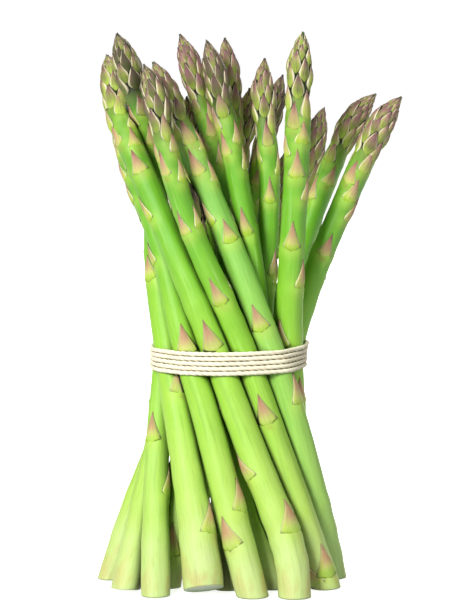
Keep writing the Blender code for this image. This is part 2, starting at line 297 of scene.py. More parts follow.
def stem_skin():
    material, wire, shader = new_material("stem_skin", Specular_IOR_Level=0.40)
    skin, tint = wire.attribute("skin", 1), wire.attribute("tint", 1)
    ripe, core = wire.attribute("ripe", 2), wire.attribute("core", 2)
    fibres = skin.stretched(1.0, 1.0, 0.045).noise(2600.0, 3.0, 0.6)
    bands = skin.stretched(1.0, 1.0, 0.06).noise(480.0, 2.0)
    blotch = skin.stretched(1.0, 1.0, 0.5).noise(170.0, 3.0)
    grown = ripe + 0.20 * (blotch - 0.5)
    colour = grown.ramp(
        (0.0, FOOT_PALE), (0.16, LOW_LIME), (0.40, MID_LIME), (0.66, HIGH_GREEN), (1.0, DEEP_GREEN)
    )
    colour = colour.mixed(FOOT_BUFF, (1.0 - ripe.within(0.0, 0.16)) * blotch.within(0.45, 0.70) * 0.7)
    colour = colour.mixed(GREY_GREEN, wire.attribute("grey", 2) * 0.45)
    # Pale waxy streaks: partly the bloom's own colour, partly a painted highlight
    colour = colour.mixed(WAX_AND_SHEEN, bands.within(0.52, 0.82) * 0.35)
    colour = colour.mixed(DEEP_GREEN, (1.0 - bands.within(0.24, 0.46)) * 0.25)
    colour = colour.mixed(DEEP_GREEN, (1.0 - fibres.within(0.30, 0.50)) * 0.18)
    colour = colour.mixed(COLLAR_LIME, wire.attribute("collar", 2) * 0.45)
    colour = colour.mixed(SCAR_BROWN, wire.attribute("scar", 2))
    # Darker deep in the head: partly each spear's own dark colour, partly painted shade between the scales
    colour = colour.mixed(CORE_DARK_AND_SHADE, core * (0.55 + 0.45 * tint.split(1)))
    # Painted shade in the narrow gaps between stems, from Ambient Occlusion
    colour = colour.mixed(PAINTED_GAP_SHADE, wire.hollow(7 * MM).within(0.30, 0.95) * 0.8)
    rough = 0.38 + 0.22 * bands + 0.10 * fibres
    relief = bumped(fibres + 0.8 * bands, 0.10 * MM, 0.55)
    feed(shader, Base_Color=colour, Roughness=rough, Normal=relief)
    return material


# %% [markdown]
# ## The scale leaves' skin
# Each scale is a small papery leaf: lime where it grows from the stem, then yellow-green, buff and a
# mauve or red-brown point, with fine veins and a thin cream edge. Scales in the head are olive and
# purple, with a dark streak down the middle, and a painted shadow line along the rim, where they
# close over each other. One material serves both kinds: the attribute `leaf` says where on its scale
# a point is, `head` how far the scale belongs to the head, and `tint` each spear's own mix of colours.
# One material for each kind would be simpler, but no scale could then be half-way between them. The
# creases get painted shade from Ambient Occlusion, which knows the real gaps between the scales.

# %% Scale skin
RIM_LIME, SIDE_LIME, SIDE_STRAW = srgb(176, 212, 58), srgb(190, 200, 96), srgb(206, 184, 138)
LEAF_STRAW, LEAF_BUFF = srgb(208, 206, 118), srgb(200, 170, 122)
LEAF_MAUVE, LEAF_TIP = srgb(190, 138, 116), srgb(136, 70, 66)
HEAD_OLIVE, HEAD_TAN = srgb(180, 200, 84), srgb(206, 190, 128)
HEAD_MAUVE, HEAD_PURPLE = srgb(168, 112, 122), srgb(104, 56, 70)
HEAD_DARK, HEAD_LIME = srgb(52, 62, 34), srgb(180, 208, 78)
HEAD_STREAK, FLANK_PINK = srgb(84, 98, 46), srgb(190, 152, 126)
# The second colour is painted shade, for the rims and creases between the head's scales
LEAF_EDGE, CREVICE_SHADE, LOW_BUFF = srgb(240, 234, 196), srgb(22, 22, 8), srgb(196, 160, 106)


def scale_skin():
    material, wire, shader = new_material("scale_skin", Specular_IOR_Level=0.35)
    leaf, tint, skin = wire.attribute("leaf", 1), wire.attribute("tint", 1), wire.attribute("skin", 1)
    head, low = wire.attribute("head", 2), wire.attribute("low", 2)
    across, along, chance = leaf.split(0), leaf.split(1), leaf.split(2)
    side = across.math("ABSOLUTE", across)
    purple, dark, lime = tint.split(0), tint.split(1), tint.split(2)
    veins = leaf.stretched(11.0, 0.6, 7.0).noise(1.6, 3.0, 0.65)
    mottle = skin.noise(1500.0, 3.0, 0.6)
    place = along + 0.18 * (mottle - 0.5) + 0.25 * (chance - 0.5)
    middle = place.ramp(
        (0.08, RIM_LIME), (0.24, LEAF_STRAW), (0.48, LEAF_BUFF), (0.76, LEAF_MAUVE), (1.0, LEAF_TIP)
    )
    buds = place.ramp(
        (0.20, HEAD_LIME), (0.42, HEAD_OLIVE), (0.60, HEAD_TAN), (0.80, HEAD_MAUVE), (1.0, HEAD_PURPLE)
    )
    colour = middle.mixed(buds, head)
    colour = colour.mixed(LOW_BUFF, low * along.within(0.30, 0.62) * 0.75)
    colour = colour.mixed(LOW_LIME, low * (1.0 - along.within(0.12, 0.55)) * 0.75)
    rim = place.ramp((0.1, RIM_LIME), (0.45, SIDE_LIME), (0.9, SIDE_STRAW))
    colour = colour.mixed(rim, side.within(0.30, 0.85) * 0.75)
    colour = colour.mixed(HEAD_LIME, lime * (1.0 - along.within(0.35, 0.85)) * head * 0.75)
    streak = (1.0 - side.within(0.10, 0.62)) * along.within(0.10, 0.40) * head
    colour = colour.mixed(HEAD_STREAK, streak * (0.25 + 0.45 * chance.within(0.2, 0.8)))
    colour = colour.mixed(HEAD_MAUVE, purple * along.within(0.20, 0.75) * (0.30 + 0.50 * head))
    colour = colour.mixed(HEAD_DARK, dark * (0.35 + 0.60 * chance.within(0.2, 0.8)) * head * 0.9)
    colour = colour.mixed(FLANK_PINK, side.within(0.40, 0.75) * along.within(0.2, 0.5) * head * 0.45)
    colour = colour.mixed(HEAD_PURPLE, (1.0 - veins.within(0.34, 0.50)) * (0.22 + 0.50 * head))
    edge = side.within(0.80 - 0.26 * head, 0.92 - 0.24 * head) * along.within(0.05, 0.25)
    colour = colour.mixed(LEAF_EDGE, edge * (1.0 - 0.65 * low) * 0.85)
    # Painted shadow line along the rim of each head scale, where the next scale closes over it
    colour = colour.mixed(CREVICE_SHADE, side.within(0.76, 0.90) * head * 0.85)
    # Painted shade in the creases between scales, from Ambient Occlusion
    colour = colour.mixed(CREVICE_SHADE, wire.hollow(3.0 * MM).within(0.25, 0.85) * 0.85)
    colour = colour.mixed(CREVICE_SHADE, wire.hollow(1.3 * MM).within(0.08, 0.40) * 0.90)
    relief = bumped(veins + 0.4 * mottle, 0.30 * MM, 0.9)
    feed(shader, Base_Color=colour, Roughness=0.50 + 0.25 * mottle, Normal=relief)
    return material


# %% [markdown]
# ## The cut end
# The bundle was trimmed with a knife once it was tied, so a cut is nearly level and slants through a
# leaning stem. The face is pale and wet, darker green towards the skin, and the ends of the fibre
# bundles show as small dots. A Voronoi pattern gives such dots without any mesh. It is flattened
# first, so that the dots don't shift with the hollow of the face.

# %% Cut face
CUT_HEART, CUT_FLANK, CUT_RIM = srgb(206, 216, 176), srgb(176, 200, 140), srgb(120, 160, 70)
CUT_DOT = srgb(120, 146, 96)
DOTS_PER_METRE = 1100.0


def cut_flesh():
    material, wire, shader = new_material("cut_flesh", Roughness=0.35)
    skin = wire.attribute("skin", 1)
    flat = skin.stretched(1.0, 1.0, 0.0)
    dots = skin.node("ShaderNodeTexVoronoi", {"feature": "F1"}, {"Vector": flat, "Scale": DOTS_PER_METRE})
    rim = wire.attribute("rim", 2)
    colour = rim.ramp((0.0, CUT_HEART), (0.62, CUT_FLANK), (1.0, CUT_RIM))
    colour = colour.mixed(CUT_DOT, (1.0 - dots.within(0.10, 0.30)) * 0.55)
    feed(shader, Base_Color=colour, Normal=bumped(dots, 0.15 * MM, 0.6))
    return material


STEM_SKIN, SCALE_SKIN, CUT_FLESH = stem_skin(), scale_skin(), cut_flesh()
print("materials:", [m.name for m in (STEM_SKIN, SCALE_SKIN, CUT_FLESH)])

# %% [markdown]
# ## Reading a spear's line from its solid
# The solid spear is a plain tapered tube. Its line could be typed in again as numbers, but it would
# then be wrong as soon as the solid changed. So level planes cut the solid into slices: the middle
# of each slice is a point of the spear's line, and its reach across the lean gives the radius. The
# foot's middle comes from the flat cut face and the tip from the point farthest from it. A short
# smoothing takes the corners out.


# %% Slices of a solid spear
SLICE_STEP = 3.5 * MM
SLICE_MARGIN = 2 * MM      # no slice this near to the cut face or the tip


def slices(name):
    """Rows of (x, y, z, radius) from the foot to the tip, and the way the cut face looks."""
    bm = bmesh.new()
    bm.from_mesh(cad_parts[name].data)
    bmesh.ops.remove_doubles(bm, verts=bm.verts, dist=WELD)
    bm.normal_update()
    places = np.array([vert.co for vert in bm.verts])
    edges = np.array([[vert.index for vert in edge.verts] for edge in bm.edges])
    flat = [face for face in bm.faces if face.normal.z < -0.8]
    foot = np.array([vert.co for vert in {vert for face in flat for vert in face.verts}])
    cut = np.array(flat[0].normal)
    bm.free()
    middle = foot.mean(axis=0)
    tip = places[np.argmax(np.linalg.norm(places - middle, axis=1))]
    start, end = places[edges[:, 0]], places[edges[:, 1]]
    rows = [(*middle, 0.0)]
    for level in np.arange(foot[:, 2].max() + SLICE_MARGIN, tip[2] - SLICE_MARGIN, SLICE_STEP):
        crossing = (start[:, 2] - level) * (end[:, 2] - level) < 0
        low, high = start[crossing], end[crossing]
        share = (level - low[:, 2]) / (high[:, 2] - low[:, 2])
        ring = low + share[:, None] * (high - low)
        heart = 0.5 * (ring.min(axis=0) + ring.max(axis=0))
        rows.append((*heart, ring_radius(ring, heart - rows[-1][:3])))
    rows.append((*tip, 0.0))
    rows[0] = (*middle, ring_radius(foot, np.subtract(rows[1], rows[0])[:3]))
    return np.array(rows), cut


def ring_radius(ring, lean):
    """The spear's true radius from a level slice: the slice's reach across the way it leans."""
    lean = lean / np.linalg.norm(lean)
    out = ring - ring.mean(axis=0)
    out -= (out @ lean)[:, None] * lean
    return float(np.linalg.norm(out, axis=1).max())


# %% A spear's line
class Line:
    """A spear's middle line at even steps, with its radius, and two directions across it."""

    COUNT = 240
    SMOOTH_LINE, SMOOTH_RADIUS = 9, 3      # steps on each side that are averaged

    def __init__(self, name):
        rows, self.cut = slices(name)
        steps = np.linalg.norm(np.diff(rows[:, :3], axis=0), axis=1)
        travel = np.concatenate(([0.0], np.cumsum(steps)))
        self.name, self.length = name, float(travel[-1])
        self.at = np.linspace(0.0, self.length, self.COUNT)
        points = np.stack([np.interp(self.at, travel, rows[:, k]) for k in range(4)], 1)
        self.points = self.smoothed(points[:, :3], self.SMOOTH_LINE)
        self.radii = self.smoothed(points[:, 3:], self.SMOOTH_RADIUS)[:, 0]
        along = np.gradient(self.points, axis=0)
        self.along = along / np.linalg.norm(along, axis=1)[:, None]
        # The front is the -y direction, made square to the line
        front = np.array((0.0, -1.0, 0.0)) - self.along * (-self.along[:, 1:2])
        self.front = front / np.linalg.norm(front, axis=1)[:, None]
        self.right = np.cross(self.along, self.front)

    @staticmethod
    def smoothed(values, half):
        """A moving average that leaves both ends where they are."""
        before = 2 * values[0] - values[half:0:-1]
        after = 2 * values[-1] - values[-2:-half - 2:-1]
        padded = np.concatenate((before, values, after))
        weights = np.hanning(2 * half + 3)[1:-1]
        weights /= weights.sum()
        return np.stack([np.convolve(column, weights, "valid") for column in padded.T], 1)

    def read(self, table, distance):
        """A row of one of the line's tables, at this distance from the foot."""
        return np.array([np.interp(distance, self.at, table[:, k]) for k in range(table.shape[1])])

    def radius(self, distance):
        return float(np.interp(distance, self.at, self.radii))

    def point(self, distance, turn, out):
        """A place at this distance from the foot, this turn from the front, and this far out."""
        beyond = max(0.0, distance - self.length)
        middle = self.read(self.points, distance) + beyond * self.along[-1]
        ahead = math.cos(turn) * self.read(self.front, distance)
        aside = math.sin(turn) * self.read(self.right, distance)
        return middle + out * (ahead + aside)


lines = {name: Line(name) for name in spear_names}
for name, line in lines.items():
    print(f"{name}: {line.length / MM:.0f} mm long, {2 * line.radius(0.4 * line.length) / MM:.1f} mm thick")

# %% [markdown]
# ## Where the scales grow
# Scales sit on a spiral, each about 137.5 degrees on from the last. Low on the stem they are far
# apart, and the gaps shrink towards the head, where the scales overlap. On the outer spears the
# scales that face the front are listed one by one, because they are what is seen first: the distance
# below the tip in millimetres, and the turn from the front in degrees, to the right. The spiral
# fills in the rest. Placing all of them by hand would take hundreds of rows, and the spiral alone
# would put none of the front ones where they are on this bundle.

# %% Scale places
# Spear: (distance below the tip from which the front is listed, the placed scales)
PLACED = {
    "spear_front_1": (30, ((36, 8), (41, -65), (50, 5), (64, -60), (108, -45), (156, 34), (212, 68))),
    "spear_front_2": (40, ((48, -75), (58, -88), (85, -80), (124, 5), (188, 62), (201, -35))),
    "spear_front_3": (30, (
        (28, -24), (33, 20), (37, -72), (40, 62), (44, -52), (48, 30), (59, 0), (78, -70), (134, 0),
        (186, -68), (211, 52),
    )),
    "spear_front_4": (27, (
        (28, -38), (32, 22), (37, 50), (40, -75), (45, -38), (49, 55), (69, -35), (68, 60), (99, -10),
        (149, -5), (213, 40), (215, -50),
    )),
    "spear_front_5": (30, (
        (33, -40), (37, 16), (41, 75), (49, -8), (54, 66), (69, -55), (78, 14), (114, -5), (146, 68),
    )),
    "spear_middle_1": (32, ((33, -45), (38, 40), (43, 12), (49, -55), (55, 34))),
    "spear_middle_2": (29, ((32, -4), (37, -62), (43, 52), (47, -36), (54, 75), (79, -10))),
    "spear_inner_3": (29, ((31, 45), (36, 6), (43, -74), (48, 72), (58, 2), (87, 50), (91, 86))),
    "spear_right_1": (29, (
        (31, -70), (34, 48), (38, -22), (44, 24), (49, -72), (57, 0), (66, 62), (85, -5), (101, 58),
        (125, -45), (150, 40),
    )),
    "spear_right_2": (32, ((35, 25), (41, -30), (48, 15), (56, 65), (72, 5), (95, -60))),
    "spear_right_3": (32, ((34, -35), (43, 15), (51, -60))),
    "spear_left_1": (100, ((143, -35), (165, 80))),
    "spear_left_2": (130, ()),
    "spear_left_3": (120, ()),
    "spear_inner_1": (120, ((190, -10),)),
    "spear_inner_2": (120, ()),
    "spear_short": (90, ()),
}
# Each spear's colouring: purple share, dark share and lime share of its head
TINTS = {
    "spear_front_1": (0.15, 0.95, 0.30), "spear_front_2": (0.35, 0.20, 0.50),
    "spear_front_3": (0.25, 0.10, 0.75), "spear_front_4": (0.45, 0.75, 0.30),
    "spear_front_5": (0.50, 0.35, 0.35), "spear_right_1": (0.15, 0.05, 0.90),
    "spear_middle_1": (1.00, 0.25, 0.15), "spear_middle_2": (0.75, 0.80, 0.10),
    "spear_left_2": (0.80, 0.25, 0.35), "spear_inner_3": (0.45, 0.15, 0.45),
    "spear_back_2": (0.90, 0.80, 0.10), "spear_left_3": (0.85, 0.65, 0.15),
    "spear_right_2": (0.55, 0.10, 0.35), "spear_right_3": (0.60, 0.15, 0.35),
    "spear_short": (0.50, 0.95, 0.05),
}
PLAIN_TINT = (0.50, 0.30, 0.40)
# How closely the scales of a head sit: under 1 shows more of the stem between them
FULLNESS = {"spear_right_1": 0.78, "spear_front_3": 0.95, "spear_right_2": 1.15, "spear_right_3": 1.15}
# How grey-green a stem is
GREY_STEMS = {"spear_front_5": 1.0, "spear_left_1": 0.25}
print("placed by hand:", sum(len(placed) for _, placed in PLACED.values()), "scales")


# %% One scale
BARE_STEM = 24             # from this many millimetres below the tip, scales sit on bare stem
USUAL_RADIUS = 4.9 * MM    # on a thicker spear than this the scales are wider too


def within(value):
    """The value, kept between 0 and 1."""
    return max(0.0, min(1.0, value))


def angle_between(first, second):
    """The smaller angle between two turns, never negative."""
    return abs((first - second + math.pi) % (2 * math.pi) - math.pi)


class Leaf:
    """One scale: where its base is, which way it faces, its size, and how far it stands off.

    Its sizes grow with the distance below the tip, in millimetres, until they are full-grown.
    """

    def __init__(self, line, base, turn, rng):
        self.base, self.turn, self.chance = base, turn, rng.random()
        self.below = (line.length - base) / MM
        girth = line.radius(min(base, line.length - BARE_STEM * MM)) / USUAL_RADIUS
        self.low = within((self.below - 70) / 110)        # 0 on the upper stem, 1 near the foot
        self.head = 1.0 - within((self.below - 27) / 14)  # 1 in the head, 0 on the bare stem
        longest = min(2.6 + 0.44 * self.below, 11.6 + 2.0 * self.low) * rng.uniform(0.88, 1.10)
        self.length = min(longest, self.below) * MM
        width = min(0.85 + 0.072 * self.below, 3.3) + 1.4 * self.low
        self.half_width = width * MM * girth * rng.uniform(0.92, 1.08)
        self.belly = min(0.15 + 0.075 * self.below, 1.50) * MM * (0.42 + 0.58 * self.head)
        lifted = within((self.below - 6) / 12)
        self.flare = (0.02 + lifted * (0.14 + 1.25 * self.head)) * MM * rng.uniform(0.6, 1.4)


# %% The spiral
GOLDEN_TURN = math.radians(137.5)
# It keeps this far from a placed scale, along the stem and round it
HAND_REACH, HAND_TURN = 3.0 * MM, 0.75
# It leaves the placed part of a spear's front clear, this far to each side
FRONT_TURN = 1.9
# It starts this far below the tip and stops this far above the foot, in millimetres
SPIRAL_START, SPIRAL_STOP = 4.0, 14
HEAD_LENGTH = 40           # FULLNESS counts this far below the tip, in millimetres


def scale_gap(below):
    """Distance to the next scale down, in millimetres, at this distance below the tip."""
    return min(0.50 + 0.68 * (below / 26) ** 1.9, 24.0)


def spear_leaves(line, rng):
    """The placed scales, then the spiral's wherever there is room and the front is not placed."""
    start, placed = PLACED.get(line.name, (math.inf, ()))
    by_hand = [(line.length - below * MM, math.radians(turn)) for below, turn in placed]
    found = list(by_hand)
    below, turn = SPIRAL_START, rng.uniform(0, 2 * math.pi)
    fullness = FULLNESS.get(line.name, 1.0)
    while line.length / MM - below > SPIRAL_STOP:
        base = line.length - below * MM
        crowded = any(
            abs(base - other) < HAND_REACH and angle_between(turn, facing) < HAND_TURN
            for other, facing in by_hand
        )
        if not crowded and not (below > start and angle_between(turn, 0.0) < FRONT_TURN):
            found.append((base, turn))
        below += scale_gap(below) / (fullness if below < HEAD_LENGTH else 1.0)
        turn += GOLDEN_TURN
    return [Leaf(line, base, turn, rng) for base, turn in sorted(found)]


# %% [markdown]
# ## Growing a stem
# A stem is one ring of points, extruded step by step from the middle of the cut face, out over its
# rim, up the line and in to the tip. Each ring is moved to its place on the line. A curve with a
# round bevel would be quicker, but it is a perfect tube and the skin is not: it has a few soft
# ridges, it swells under each scale, and two faint ribs run down from the scale's corners. Inside
# the head the stem is slimmer, to leave room for the scales.

# %% The shape of a stem
STEM_SIDES = 36
# Share of the radius and depth of the hollow in millimetres, for each ring of the cut face
CUT_RINGS = ((0.05, 0.45), (0.45, 0.38), (0.80, 0.26), (0.94, 0.12), (0.985, 0.0))
HEAD_REACH = 34 * MM       # below the tip, where the stem starts to thin under the scales
HEAD_RAMP = 10 * MM        # and the distance over which it does
CORE_THIN = 0.36           # share of its radius that it gives up to them
RING_GAP = 1.9 * MM
FOOT_RINGS = (0.0, 0.5 * MM, 1.4 * MM)
SWELL = 0.26 * MM          # how far the stem stands out under a scale
RIB, RIB_WIDTH = 0.13 * MM, 0.13       # a rib's height, and its width as a turn round the stem
RIB_LENGTH = 26 * MM       # how far a scale's two ribs run down the stem
SLANT_REACH = 9 * MM       # above this the rings no longer follow the slant of the cut


def inside_head(line, distance):
    """0 on the bare stem, 1 well inside the head."""
    return within((distance - line.length + HEAD_REACH) / HEAD_RAMP)


def core_share(line, distance):
    """How much of the spear's full radius the stem itself takes here."""
    return 1.0 - CORE_THIN * inside_head(line, distance)


def stem_radius(line, distance, turn, leaves, phase):
    """The stem's radius at one point, with its ridges, swellings and ribs."""
    radius = line.radius(distance) * core_share(line, distance)
    ridges = 0.012 * math.cos(3 * turn + phase + 14 * distance) + 0.007 * math.cos(8 * turn - phase)
    radius *= 1.0 + ridges * (1.0 - inside_head(line, distance))
    for leaf in leaves:
        under = leaf.base + 1.6 * MM - distance
        if -3 * MM < under < RIB_LENGTH and leaf.below > BARE_STEM:
            apart = angle_between(turn, leaf.turn)
            facing = 0.30 + 0.70 * max(0.0, math.cos(apart))
            radius += SWELL * math.exp(-((under - 1.4 * MM) / (2.2 * MM)) ** 2) * facing
            corner = leaf.half_width / max(radius, MM)
            if under > 0:
                rib = math.exp(-((apart - corner) / RIB_WIDTH) ** 2)
                radius += RIB * rib * (1 - under / RIB_LENGTH) * (1 - 0.7 * leaf.low)
    return radius


def stem_stations(line):
    """Distances of the rings: close together near the foot, even up the stem."""
    count = int((line.length - 4 * MM) / RING_GAP)
    return list(FOOT_RINGS) + list(np.linspace(3 * MM, line.length - 0.8 * MM, count))


def slanted(line, place, distance):
    """Slides a place near the foot along the stem, so that the rim follows the cut."""
    along = line.along[0]
    off = (place - line.points[0]) @ line.cut / (along @ line.cut) - distance
    return place - along * (off * max(0.0, 1.0 - distance / SLANT_REACH))


# %% Marks of the scales on the skin
def leaf_marks(distance, turn, leaves):
    """The brown line just under a scale's foot, and the lime skin round the scale's foot."""
    scar = collar = 0.0
    for leaf in leaves:
        below = leaf.base - distance
        if abs(below) < 6 * MM and leaf.below > BARE_STEM:
            apart = angle_between(turn, leaf.turn)
            brown = math.exp(-((below - 0.5 * MM) / (0.9 * MM)) ** 2)
            lime = math.exp(-((below + 0.6 * MM) / (3.0 * MM)) ** 2)
            scar = max(scar, brown * within(1 - apart / 0.5) * leaf.chance)
            collar = max(collar, lime * within(1.5 - apart))
    return 0.6 * scar, collar


# %% One stem
def settle(bm, name, materials):
    """The bmesh as a finished, smooth piece with its place in its mesh."""
    mesh = bpy.data.meshes.new(name)
    bm.to_mesh(mesh)
    bm.free()
    for material in materials:
        mesh.materials.append(material)
    mesh.shade_smooth()
    piece = bpy.data.objects.new(name, mesh)
    bpy.context.scene.collection.objects.link(piece)
    return piece


def follow(ring, fresh):
    """The new ring's points in the order of the ring that they were extruded from."""
    return [next(e.other_vert(v) for e in v.link_edges if e.other_vert(v) in fresh) for v in ring]


def grow_stem(line, leaves, tint, rng):
    """One closed stem, with the cut face as its second material."""
    phase = rng.uniform(0, 2 * math.pi)
    bm = bmesh.new()
    skin, tone = bm.verts.layers.float_vector.new("skin"), bm.verts.layers.float_vector.new("tint")
    marks = ("ripe", "rim", "scar", "collar", "core", "grey")
    extra = {key: bm.verts.layers.float.new(key) for key in marks}
    turns = [2 * math.pi * k / STEM_SIDES for k in range(STEM_SIDES)]
    rings = [(0.0, share, hollow * MM) for share, hollow in CUT_RINGS]
    rings += [(distance, 1.0, 0.0) for distance in stem_stations(line)]
    made = bmesh.ops.create_circle(bm, cap_ends=True, segments=STEM_SIDES, radius=1.0)
    ring, edges = made["verts"], list(bm.edges)
    cut_faces = len(CUT_RINGS) * STEM_SIDES + 1
    for number, (distance, share, hollow) in enumerate(rings):
        if number:
            made = bmesh.ops.extrude_edge_only(bm, edges=edges)["geom"]
            edges = [item for item in made if isinstance(item, bmesh.types.BMEdge)]
            ring = follow(ring, {item for item in made if isinstance(item, bmesh.types.BMVert)})
        for vert, turn in zip(ring, turns):
            radius = share * stem_radius(line, distance, turn, leaves, phase)
            place = slanted(line, line.point(distance, turn, radius), distance)
            vert.co = place + hollow * line.along[0]
            vert[skin] = (radius * math.cos(turn), radius * math.sin(turn), distance)
            vert[tone] = tint
            vert[extra["ripe"]], vert[extra["rim"]] = distance / line.length, share
            vert[extra["scar"]], vert[extra["collar"]] = leaf_marks(distance, turn, leaves)
            vert[extra["core"]] = inside_head(line, distance)
            vert[extra["grey"]] = GREY_STEMS.get(line.name, 0.0)
    made = bmesh.ops.extrude_edge_only(bm, edges=edges)["geom"]
    last = [item for item in made if isinstance(item, bmesh.types.BMVert)]
    bmesh.ops.pointmerge(bm, verts=last, merge_co=Vector(line.points[-1]))
    bm.faces.ensure_lookup_table()
    for face in bm.faces[:cut_faces]:
        face.material_index = 1
    bmesh.ops.recalc_face_normals(bm, faces=bm.faces)
    return settle(bm, line.name + "_stem", [STEM_SKIN, CUT_FLESH])


# %% [markdown]
# ## Growing the scales
# A scale starts as a small grid. Its points are laid on the stem: across the grid becomes a turn
# round the stem, up the grid becomes a distance along it. A scale on the bare stem is a spade: its
# foot is narrow, widens to two corners that stand off a little, and its sides run to a point. A
# scale in the head is a plump lens: it bulges over its bud, and its tip lies close to the stem.
# One scale could be copied with instances, but each of these is bent round its own stem, so each is
# laid by itself. A Solidify modifier then gives the thin leaf its thickness.

# %% Scales
# Rows up a scale, and its share of the full width at each row, on the bare stem and in the head
ROWS = (0.0, 0.08, 0.16, 0.28, 0.42, 0.58, 0.76, 0.90, 1.0)
SPADE = (0.05, 0.52, 1.0, 0.90, 0.68, 0.46, 0.24, 0.10, 0.02)
LENS = (0.10, 0.46, 0.78, 1.0, 0.96, 0.74, 0.42, 0.18, 0.02)
ACROSS = 6
LEAF_THICKNESS = 0.34 * MM
LEAF_SEAT = 0.14 * MM      # between the stem and the outside of a scale's foot
WRAP = 1.3                 # a scale bends round the stem by this much at most, to each side
EAR = 0.38 * MM            # how far a spade's two corners stand off


def add_leaf(bm, layers, line, leaf, tint):
    """Adds one scale to the bmesh, laid on its stem."""
    made = bmesh.ops.create_grid(bm, x_segments=ACROSS, y_segments=len(ROWS) - 1, size=1.0)
    for vert in made["verts"]:
        across, row = vert.co.x, round((vert.co.y + 1) / 2 * (len(ROWS) - 1))
        up = ROWS[row]
        spread = leaf.head * LENS[row] + (1 - leaf.head) * SPADE[row]
        distance = leaf.base + leaf.length * up
        core = line.radius(min(distance, line.length - 1.0 * MM)) * core_share(line, distance)
        side = across * leaf.half_width * spread
        turn = leaf.turn + max(-WRAP, min(WRAP, side / max(core, 1.5 * MM)))
        keel = 0.55 * (1 - abs(across)) ** 0.8 + 0.45 * (1 - across**2)
        bulge = leaf.belly * math.sin(math.pi * min(1.0, up / 0.92)) ** 0.8 * keel
        corner = abs(across) ** 4 * math.exp(-((up - 0.16) / 0.09) ** 2)
        ear = EAR * corner * (1 - 0.6 * leaf.head)
        lift = LEAF_SEAT + leaf.flare * up**1.4 * (1 - 0.2 * across**2) + bulge + ear
        vert.co = line.point(distance, turn, core + lift)
        vert[layers["leaf"]] = (across, up, leaf.chance)
        vert[layers["skin"]] = (side, leaf.chance, distance)
        vert[layers["tint"]] = tint
        vert[layers["head"]], vert[layers["low"]] = leaf.head, leaf.low


def grow_scales(line, leaves, tint):
    """All scales of one spear as one piece."""
    bm = bmesh.new()
    layers = {name: bm.verts.layers.float_vector.new(name) for name in ("leaf", "skin", "tint")}
    layers.update({name: bm.verts.layers.float.new(name) for name in ("head", "low")})
    for leaf in leaves:
        add_leaf(bm, layers, line, leaf, tint)
    scales = settle(bm, line.name + "_scales", [SCALE_SKIN])
    wall = scales.modifiers.new("thickness", "SOLIDIFY")
    wall.thickness, wall.offset = LEAF_THICKNESS, -1.0
    return scales


# %% Grow all spears
FIRST_SEED = 100           # each spear has its own seed, so it grows the same every time
total = 0
for number, name in enumerate(spear_names):
    line, rng = lines[name], random.Random(FIRST_SEED + number)
    tint = TINTS.get(name, PLAIN_TINT)
    leaves = spear_leaves(line, rng)
    stem = grow_stem(line, leaves, tint, rng)
    scales = grow_scales(line, leaves, tint)
    for piece in (stem, scales):
        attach(piece, "root")
        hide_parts(name)
    total += len(stem.data.polygons) + len(scales.data.polygons)
print("spears:", total, "faces")

# %% [markdown]
# ## The twine
# The twine is undyed cotton, laid from three plies. It is wound five times round the bundle, taut
# over the outer stems, and tied behind with a reef knot. A circle would stand off the stems here and
# cut them there, so the route of the winding is read from the solid winding: half-planes through
# the bundle's middle cut it, and each cut gives five small rings, one for each turn.

# %% Winding route
CUTS = 72                  # half-planes round the bundle
TURNS = 5
SOLID_TWINE = 1.5 * MM     # the solid winding's thickness
PRESS = 0.40 * MM          # the soft twine sinks towards the stems by this much


def winding_route():
    """The winding's middle line, from its lower end at the back to its upper end."""
    bm = bmesh.new()
    bm.from_mesh(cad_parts["twine"].data)
    bmesh.ops.remove_doubles(bm, verts=bm.verts, dist=WELD)
    places = np.array([vert.co for vert in bm.verts])
    edges = np.array([[vert.index for vert in edge.verts] for edge in bm.edges])
    bm.free()
    low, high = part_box("twine")
    rise = (high[2] - low[2] - SOLID_TWINE) / TURNS
    start, end = places[edges[:, 0]], places[edges[:, 1]]
    route = []
    for lap in range(TURNS):
        for cut in range(CUTS):
            turn = math.pi / 2 + 2 * math.pi * (cut + 0.5) / CUTS
            out = np.array((math.cos(turn), math.sin(turn), 0.0))
            across = np.array((-out[1], out[0], 0.0))
            before, after = start @ across, end @ across
            crossing = before * after < 0
            share = before[crossing] / (before[crossing] - after[crossing])
            found = start[crossing] + share[:, None] * (end[crossing] - start[crossing])
            level = low[2] + SOLID_TWINE / 2 + rise * (lap + (cut + 0.5) / CUTS)
            ring = found[(found @ out > 0) & (abs(found[:, 2] - level) < rise / 2)]
            if len(ring):
                route.append(0.5 * (ring.min(axis=0) + ring.max(axis=0)) - PRESS * out)
    return np.array(route)


route = winding_route()
length = float(np.linalg.norm(np.diff(route, axis=0), axis=1).sum())
print(f"winding: {len(route)} points, {length / MM:.0f} mm")

# %% [markdown]
# ### The reef knot
# A reef knot is two bights, or loops, that lock into each other. Each end of the twine comes in, runs
# round its loop and back the same way, then hangs down as a short trimmed tail. A lump with two
# stubs would do from afar, but the knot is where the eye rests behind the bundle. Only one bight is
# written down: the other is the same one reflected through the knot's middle.

